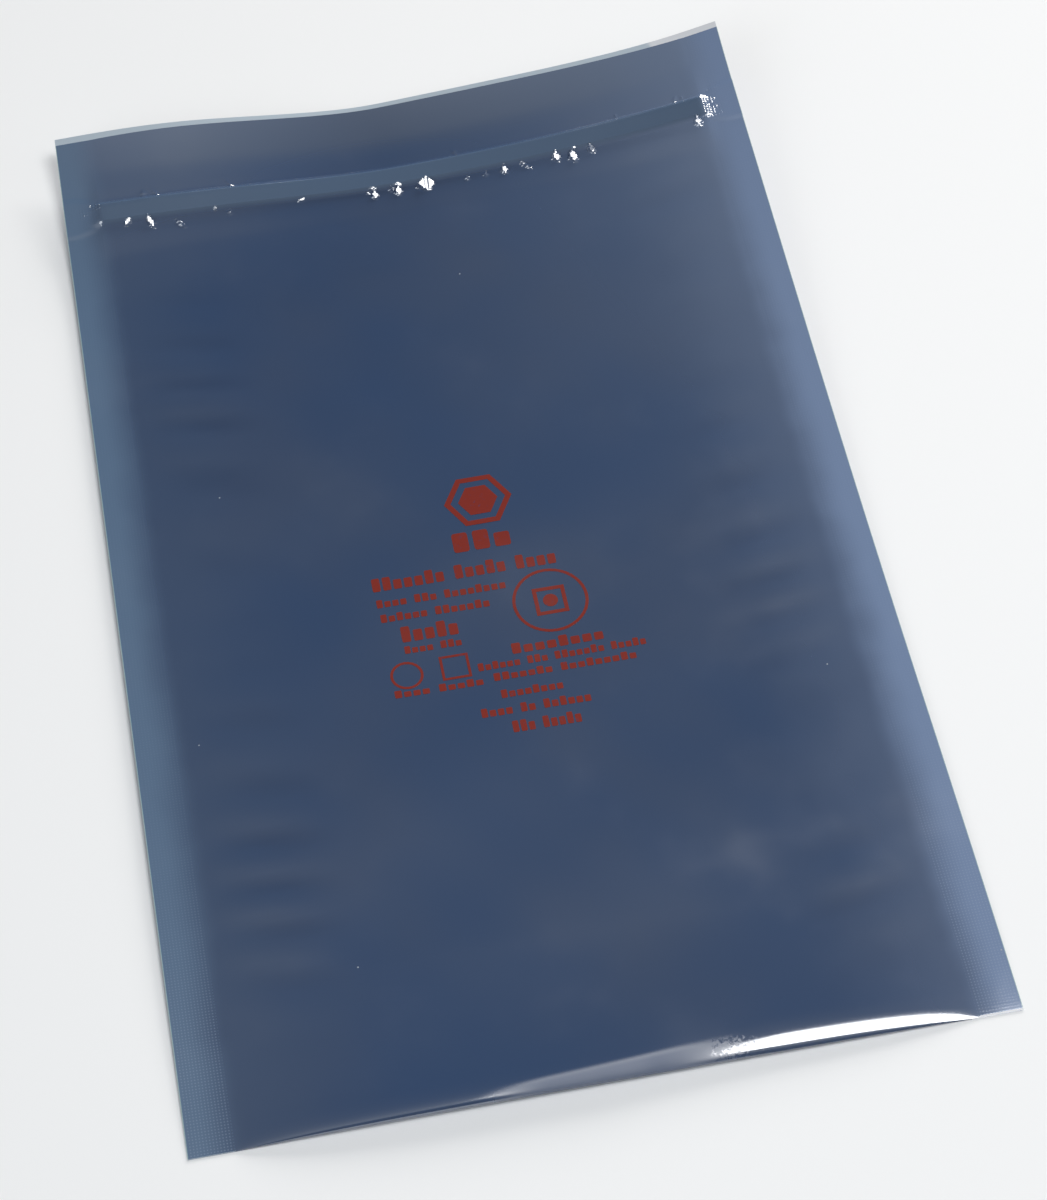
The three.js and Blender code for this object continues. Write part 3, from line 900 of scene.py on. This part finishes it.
def cut_material():
    """The cut edges of the film, where its clear layers show"""
    material, tree, shader = new_material("cut_edge")
    marks = handling_marks(tree, FINE_GRAIN, 0.1, 0.4)
    base = colour_mix(tree, marks["Dust"], CUT_EDGE, DUST_GREY)
    plug(tree, shader.inputs["Base Color"], base)
    plug(tree, shader.inputs["Roughness"], marks["Roughness"])
    return material


# %% [markdown]
# A web of film has two sides and a cut edge. Its inner side could be a second grid, but Solidify gives
# the skin its wall inward in one step, and puts the inner side and the rim in material slots of their
# own. Only the round parts are shaded smooth, so that the cut edge and the creases stay sharp.

# %% Give the web its wall
WALL = 0.075 * MM
SHARP_FROM_DEG = 28


def add_wall(piece, thickness):
    """Give a skin its thickness inward"""
    wall = piece.modifiers.new("wall", "SOLIDIFY")
    wall.thickness = thickness
    wall.offset = -1
    wall.material_offset = 1
    wall.material_offset_rim = 2
    deselect_all()
    piece.select_set(True)
    bpy.context.view_layer.objects.active = piece
    bpy.ops.object.modifier_apply(modifier="wall")
    bpy.ops.object.shade_smooth_by_angle(angle=math.radians(SHARP_FROM_DEG))


for material in (film_material(), inner_material(), cut_material()):
    web.data.materials.append(material)
add_wall(web, WALL)
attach(web, "root")
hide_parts("bag_film")
web.data.calc_loop_triangles()
print("web triangles:", len(web.data.loop_triangles))

# %% [markdown]
# The two strips of the zip lie inside, closed on each other. They are extruded polythene, and nothing of
# them is left to shape here: they only take the milky clear look of the real strips.

# %% Zip strips
MILKY, MILKY_DUST = (0.58, 0.61, 0.64, 1), (0.7, 0.71, 0.72, 1)
STRIP_GRAIN = 1.0e-6


def strip_material():
    """Extruded polythene, a little waxy"""
    material, tree, shader = new_material("milky_polythene")
    marks = handling_marks(tree, STRIP_GRAIN, 0.08, 0.32)
    plug(tree, shader.inputs["Base Color"], colour_mix(tree, marks["Dust"], MILKY, MILKY_DUST))
    plug(tree, shader.inputs["Roughness"], marks["Roughness"])
    plug(tree, shader.inputs["Normal"], bump(tree, marks["Height"]))
    shader.inputs["IOR"].default_value = PLASTIC_IOR
    return material


polythene = strip_material()
for name in ("zip_groove_strip", "zip_rib_strip"):
    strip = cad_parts[name]
    strip.data.materials.clear()
    strip.data.materials.append(polythene)
    print(name, "is made of", polythene.name)

# %% [markdown]
# The red print is a thin layer of ink on the front. Here it says nothing: blocks stand for the words and
# plain shapes for the signs. It could be painted in the film's material, but as thin pieces its edges
# stay sharp however near the camera comes. Each shape is cut out flat and given its thickness.

# %% Shapes of the print
INK = 0.012 * MM
INK_GAP = 0.02 * MM
CORNER_CUT = 0.14
INNER_SHARE = 0.3


def finish_mark(place_at, turn=0.0):
    """Give the flat shape being edited its thickness, and set it down at its place in millimetres"""
    bpy.ops.mesh.select_all(action="SELECT")
    bpy.ops.mesh.extrude_region_move(TRANSFORM_OT_translate={"value": (0, 0, INK)})
    bpy.ops.object.mode_set(mode="OBJECT")
    mark = bpy.context.active_object
    spot = Matrix.Translation((place_at[0] * MM, place_at[1] * MM, 0))
    mark.data.transform(spot @ Matrix.Rotation(math.radians(turn), 4, "Z"))
    return mark


def flat_shape(sides, radius):
    """A flat disc or polygon, left in edit mode with all of it selected"""
    deselect_all()
    bpy.ops.mesh.primitive_circle_add(vertices=sides, radius=radius * MM, fill_type="NGON")
    bpy.ops.object.mode_set(mode="EDIT")
    bpy.ops.mesh.select_all(action="SELECT")


def solid_mark(sides, radius, place_at, turn=0.0):
    """A filled shape"""
    flat_shape(sides, radius)
    bpy.ops.mesh.inset(thickness=INNER_SHARE * radius * MM)
    return finish_mark(place_at, turn)


def outline_mark(sides, radius, line, place_at, turn=0.0):
    """A shape that is only a line of this width"""
    flat_shape(sides, radius)
    bpy.ops.mesh.inset(thickness=line * MM)
    bpy.ops.mesh.delete(type="FACE")
    return finish_mark(place_at, turn)


def letter_block():
    """One block, 1 metre square, with its corners cut: the pattern for every letter"""
    deselect_all()
    bpy.ops.mesh.primitive_plane_add(size=1)
    bpy.ops.object.mode_set(mode="EDIT")
    bpy.ops.mesh.select_all(action="SELECT")
    bpy.ops.mesh.bevel(affect="VERTICES", offset=CORNER_CUT, segments=2)
    return finish_mark((0, 0))


# %% [markdown]
# The words are rows of small blocks. One block is modelled and every other is a copy with a mesh of its
# own. A row gets the width and height of the printed line it stands for, and its blocks are shared out
# in words.

# %% Rows of words
# Left, right and middle line on the film in millimetres, height, and the blocks in each word
WORD_ROWS = [
    (-8.9, 5.4, -1.6, 5.4, (3,)),
    (-28.5, 14.2, -9.4, 3.7, (7, 5, 4)),
    (-28.2, 1.6, -14.7, 2.2, (4, 3, 8)),
    (-27.9, -2.8, -18.8, 2.2, (6, 7)),
    (-24.2, -10.8, -23.9, 4.2, (5,)),
    (-24.0, -10.8, -28.1, 2.0, (4, 3)),
    (-28.1, -7.9, -39.6, 2.0, (4, 5)),
    (-0.7, 20.6, -32.3, 2.9, (8,)),
    (-8.8, 29.4, -35.9, 2.1, (6, 3, 7, 5)),
    (-5.9, 26.6, -39.2, 2.1, (7, 9)),
    (-5.1, 9.1, -44.0, 2.2, (8,)),
    (-10.3, 14.5, -48.3, 2.4, (4, 2, 6)),
    (-4.2, 11.4, -53.0, 3.0, (3, 5)),
]
WORD_SPACE = 0.8
BLOCK_WIDTH = 0.76
LOW_BLOCK = 0.72


def word_row(pattern, left, right, middle, height, words):
    """Copies of the block in a row. The first of each word and a few others are taller"""
    pitch = (right - left) / (sum(words) + WORD_SPACE * (len(words) - 1))
    at = left + pitch / 2
    row = []
    for letters in words:
        for i in range(letters):
            tall = height if i == 0 or (i * 5 + letters) % 4 == 0 else LOW_BLOCK * height
            block = pattern.copy()
            block.data = pattern.data.copy()
            bpy.context.scene.collection.objects.link(block)
            size = Matrix.Diagonal((BLOCK_WIDTH * pitch * MM, tall * MM, 1, 1))
            foot = middle - (height - tall) / 2
            block.data.transform(Matrix.Translation((at * MM, foot * MM, 0)) @ size)
            row.append(block)
            at += pitch
        at += WORD_SPACE * pitch
    return row


# %% [markdown]
# All marks are laid out flat and joined to one piece. Then the piece is draped over the lying film: each
# point moves to the place on the film that it stands over, a hair above it. The ink is a duller red
# gloss, worn in places so that the film shows through.

# %% Lay out the print
TOP_SIGN, ROUND_SIGN = (-0.5, 9.6), (10.6, -21.0)
SMALL_RING, SMALL_SQUARE = (-24.4, -34.9), (-13.5, -34.6)
INK_RED = (0.215, 0.023, 0.014, 1)
INK_IOR = 1.7
WORN_SHARE = 0.35


def add_print():
    """The whole print, flat: seven plain shapes and the rows of words"""
    block = letter_block()
    marks = [
        outline_mark(6, 7.9, 1.3, TOP_SIGN, 30),
        solid_mark(6, 4.6, TOP_SIGN, 30),
        outline_mark(40, 8.6, 0.7, ROUND_SIGN),
        outline_mark(4, 5.2, 0.9, ROUND_SIGN, 45),
        solid_mark(24, 1.7, ROUND_SIGN),
        outline_mark(24, 3.7, 0.6, SMALL_RING),
        outline_mark(4, 4.6, 0.6, SMALL_SQUARE, 45),
    ]
    for row in WORD_ROWS:
        marks += word_row(block, *row)
    bpy.data.objects.remove(block)
    deselect_all()
    for mark in marks:
        mark.select_set(True)
    bpy.context.view_layer.objects.active = marks[0]
    bpy.ops.object.join()
    print_object = bpy.context.active_object
    print_object.name = print_object.data.name = "printed_marks"
    return print_object


def drape(piece):
    """Lay a flat piece on the front of the bag"""
    flat = points_of(piece)
    turn, side = np.full(len(flat), math.pi / 2), np.ones(len(flat))
    points, _ = skin_points(flat[:, 0], flat[:, 1], turn, side, flat[:, 2] + INK_GAP)
    piece.data.vertices.foreach_set("co", (points + sheet_shift).ravel())
    piece.data.update()


def ink_material():
    """Red ink, worn in small spots"""
    material, tree, shader = new_material("red_ink")
    marks = handling_marks(tree, FINE_GRAIN, 0.1, 0.22)
    worn = step_between(tree, noise(tree, 900, 3.0, 0.7), 0.58, 0.72)
    base = colour_mix(tree, maths(tree, "MULTIPLY", worn, WORN_SHARE), INK_RED, DEEP_BLUE)
    plug(tree, shader.inputs["Base Color"], colour_mix(tree, marks["Dust"], base, DUST_GREY))
    plug(tree, shader.inputs["Roughness"], marks["Roughness"])
    plug(tree, shader.inputs["Normal"], bump(tree, marks["Height"]))
    shader.inputs["IOR"].default_value = INK_IOR
    return material


printed = add_print()
drape(printed)
printed.data.materials.append(ink_material())
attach(printed, "root")
print("faces of the print:", len(printed.data.polygons))


# %% [markdown]
# The bag lies on a plain pale table top. It is only scenery, a hair below the bag so that no faces meet.

# %% Table
TABLE_SIZE = 6
TABLE_DROP = 0.05 * MM
TABLE_WHITE = (0.91, 0.913, 0.916, 1)


def add_table():
    deselect_all()
    bpy.ops.mesh.primitive_plane_add(size=TABLE_SIZE, location=(0, 0, -TABLE_DROP))
    table = bpy.context.active_object
    table.name = "table"
    material, _, shader = new_material("pale_table")
    shader.inputs["Base Color"].default_value = TABLE_WHITE
    shader.inputs["Roughness"].default_value = 0.7
    shader.inputs["Specular IOR Level"].default_value = 0.2
    table.data.materials.append(material)


add_table()

# %% [markdown]
# Glossy film looks like what it mirrors. The key lamp hangs where only the tents, the creases and the
# flank of the fold throw it into the camera. The far low window lights the shoulder of the zip. The room
# is dim behind the bag, where the flat film mirrors it, brighter in front, and dark round the camera.

# %% Light
WARM, PLAIN, COOL = (1.0, 0.97, 0.93), (1.0, 1.0, 1.0), (0.9, 0.95, 1.0)
# Each lamp: its place and size in metres, its power and colour
LAMPS = {
    "key": ((0.42, -0.15, 1.08), (0.55, 0.6), 6.5, PLAIN),
    "fill": ((-1.1, -0.9, 0.9), (1.0, 1.0), 6, COOL),
    "window": ((1.5, 2.5, 0.75), (2.4, 0.9), 100, WARM),
}
ROOM_DIM, ROOM_BRIGHT = 0.08, 0.4
CAMERA_SHADE = 0.85


def add_softbox(name, place_at, size, power, colour):
    """A square lamp that faces the bag"""
    lamp_data = bpy.data.lights.new(name, "AREA")
    lamp_data.shape = "RECTANGLE"
    lamp_data.size, lamp_data.size_y = size
    lamp_data.energy = power
    lamp_data.color = colour
    lamp = bpy.data.objects.new(name, lamp_data)
    bpy.context.scene.collection.objects.link(lamp)
    lamp.location = place_at
    lamp.rotation_euler = Vector(place_at).to_track_quat("Z", "Y").to_euler()


def set_room(dim, bright):
    """Light from all round: dim from behind the bag, brighter from in front of it"""
    world = bpy.data.worlds.new("room")
    bpy.context.scene.world = world
    world.use_nodes = True
    tree = world.node_tree
    direction = tree.nodes.new("ShaderNodeTexCoord").outputs["Generated"]
    parts = tree.nodes.new("ShaderNodeSeparateXYZ")
    tree.links.new(direction, parts.inputs["Vector"])
    front = step_between(tree, parts.outputs["Y"], 0.75, -0.3)
    round_the_camera = step_between(tree, parts.outputs["Y"], -0.35, -0.6)
    lit = maths(tree, "SUBTRACT", front, maths(tree, "MULTIPLY", round_the_camera, CAMERA_SHADE))
    tint = Vector(COOL)
    colour = colour_mix(tree, lit, (*tint * dim, 1), (*tint * bright, 1))
    tree.links.new(colour, tree.nodes["Background"].inputs["Color"])


for lamp_name, settings in LAMPS.items():
    add_softbox(lamp_name, *settings)
set_room(ROOM_DIM, ROOM_BRIGHT)
bpy.context.scene.view_settings.view_transform = "Standard"
print("lamps:", ", ".join(LAMPS))
